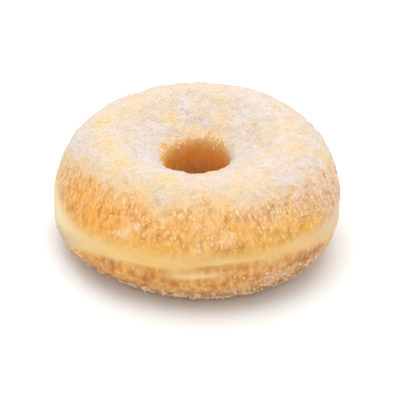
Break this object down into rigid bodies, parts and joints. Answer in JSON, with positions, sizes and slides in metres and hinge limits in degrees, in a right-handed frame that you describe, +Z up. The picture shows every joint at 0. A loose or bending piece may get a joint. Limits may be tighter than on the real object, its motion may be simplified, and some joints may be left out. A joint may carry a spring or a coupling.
{
  "type": "sugar doughnut",
  "caption": "Ring of fried yeast dough with a centre hole and a pale waist, rolled in sugar, resting on its flattened base.",
  "frame": {"origin": "middle of the footprint, on the surface the doughnut rests on", "axes": "+Z up along the axis of the hole, out of the sugared top; -Y is the side with the heaviest edge of sugar coming down over the crust; +X is to the right of that side"},
  "size_m": [0.0898, 0.0898, 0.0389],
  "materials": {
    "sugared_crust": "golden fried crust under a rough coat of sugar crystals"
  },
  "bodies": {
    "root": {"doughnut": "sugared_crust"}
  },
  "joints": []
}
